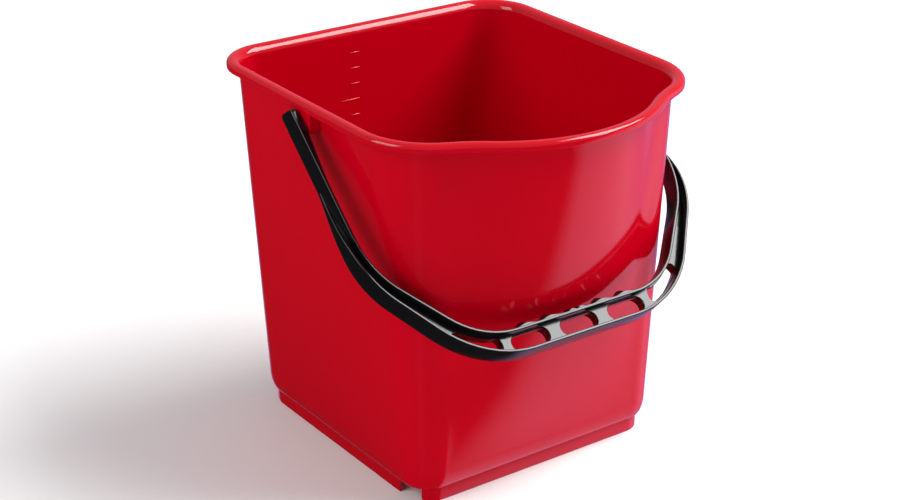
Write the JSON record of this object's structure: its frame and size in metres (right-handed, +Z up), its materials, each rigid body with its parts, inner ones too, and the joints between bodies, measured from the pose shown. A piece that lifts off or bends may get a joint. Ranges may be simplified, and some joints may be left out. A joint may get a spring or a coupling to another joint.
{
  "type": "wash bucket",
  "caption": "Tall near-square plastic wash bucket with a rounded pouring front, rolled rim, notched foot skirt and swinging bail handle with hand slots.",
  "frame": {"origin": "on the floor, under the middle of the rim", "axes": "+Z up, -Y towards the rounded pouring front where the bail lies at rest, +X towards the left of someone who looks at the front"},
  "size_m": [0.3176, 0.3229, 0.31],
  "materials": {
    "bucket_plastic": "glossy injection-moulded",
    "bail_plastic": "semi-gloss injection-moulded"
  },
  "bodies": {
    "bucket": {"bucket_body": "bucket_plastic"},
    "bail": {"bail_grip": "bail_plastic", "bail_arm_left": "bail_plastic", "bail_arm_right": "bail_plastic"}
  },
  "joints": [
    {"name": "bail_swing", "type": "hinge", "parent": "bucket", "child": "bail", "pos_m": [0, 0.0216, 0.2905], "axis": [-1, 0, 0], "range_deg": [0, 263]}
  ]
}
